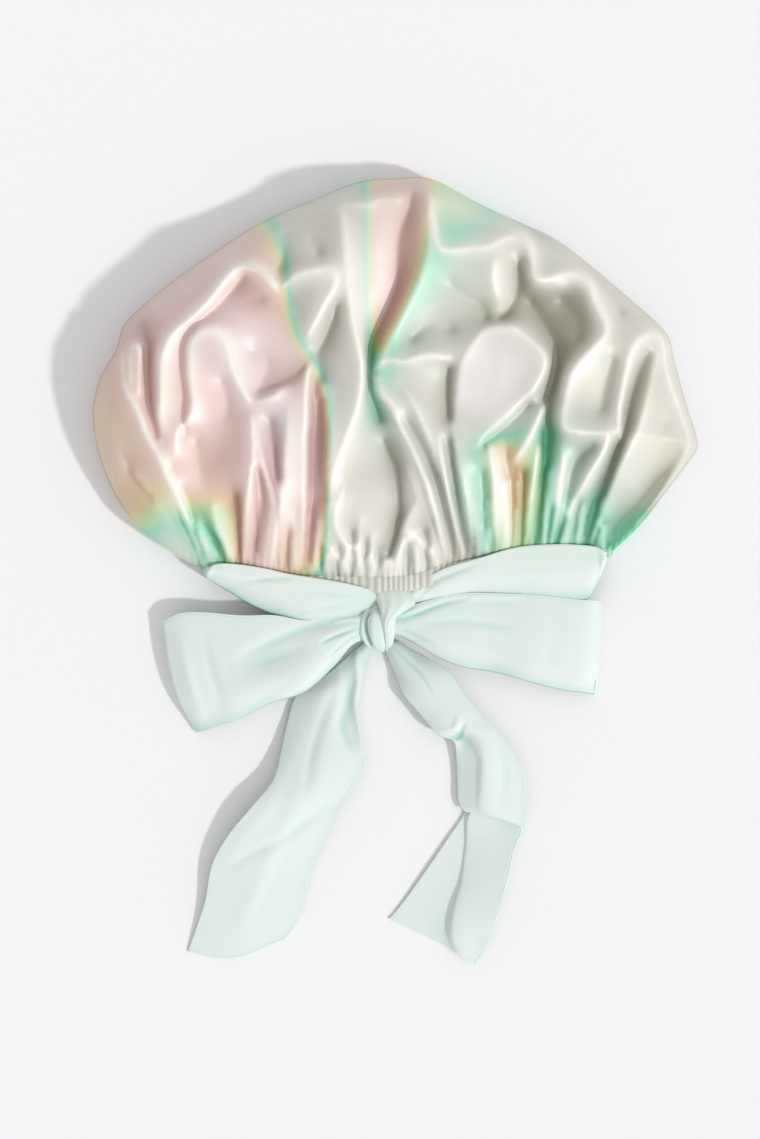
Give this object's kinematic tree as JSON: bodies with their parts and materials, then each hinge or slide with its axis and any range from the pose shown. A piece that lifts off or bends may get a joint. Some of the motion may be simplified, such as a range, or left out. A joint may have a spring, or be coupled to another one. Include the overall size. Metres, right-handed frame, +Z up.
{
  "type": "hair bonnet",
  "caption": "Gathered satin hair bonnet laid flat: a puffed crown on an elasticated hem, with a crepe sash tied in a bow whose loops and tails lift and swing.",
  "frame": {"origin": "middle of the footprint, on the table that the bonnet lies on", "axes": "+Z up from the table, towards the front of the bonnet; +Y from the tails to the top of the crown; +X to the right as the bow is seen from above"},
  "size_m": [0.3592, 0.47, 0.0624],
  "materials": {
    "printed_satin": "glossy woven satin, pastel pink, pearl grey and mint, puckered at the hem",
    "elastic": "flat woven elastic, matte",
    "sash_crepe": "soft woven crepe, pale mint, matte",
    "satin_thread": "polyester sewing thread, slight sheen",
    "edging_thread": "overlocked edge, fluffy thread"
  },
  "bodies": {
    "back": {"crown_back": "printed_satin", "casing_back": "printed_satin", "casing_stitching_back": "satin_thread", "elastic_band": "elastic", "sash_back": "sash_crepe", "sash_stitching": "edging_thread"},
    "front": {"crown_front": "printed_satin", "casing_front": "printed_satin", "casing_stitching_front": "satin_thread", "sash_band_left": "sash_crepe", "sash_band_right": "sash_crepe", "knot_wrap": "sash_crepe", "knot_core": "sash_crepe"},
    "loop_left": {"loop_left": "sash_crepe", "loop_left_edging_upper": "edging_thread", "loop_left_edging_lower": "edging_thread"},
    "loop_right": {"loop_right": "sash_crepe", "loop_right_edging_upper": "edging_thread", "loop_right_edging_lower": "edging_thread"},
    "tail_left": {"tail_left": "sash_crepe", "tail_left_edging": "edging_thread"},
    "tail_right": {"tail_right": "sash_crepe", "tail_right_edging": "edging_thread"}
  },
  "joints": [
    {"name": "mouth_open", "type": "hinge", "parent": "back", "child": "front", "pos_m": [0, 0.23482, 0.0113], "axis": [-1, 0, 0], "range_deg": [0, 20], "deforming": ["elastic_band"]},
    {"name": "loop_left_lift", "type": "hinge", "parent": "front", "child": "loop_left", "pos_m": [-0.02281, -0.03528, 0.011], "axis": [0, 1, 0], "range_deg": [0, 50]},
    {"name": "loop_right_lift", "type": "hinge", "parent": "front", "child": "loop_right", "pos_m": [0.00779, -0.03528, 0.011], "axis": [0, -1, 0], "range_deg": [0, 50]},
    {"name": "tail_left_swing", "type": "hinge", "parent": "front", "child": "tail_left", "pos_m": [-0.01251, -0.05258, 0.011], "axis": [0, 0, 1], "range_deg": [-12, 8]},
    {"name": "tail_right_swing", "type": "hinge", "parent": "front", "child": "tail_right", "pos_m": [-0.00251, -0.05258, 0.011], "axis": [0, 0, 1], "range_deg": [-8, 12]}
  ]
}
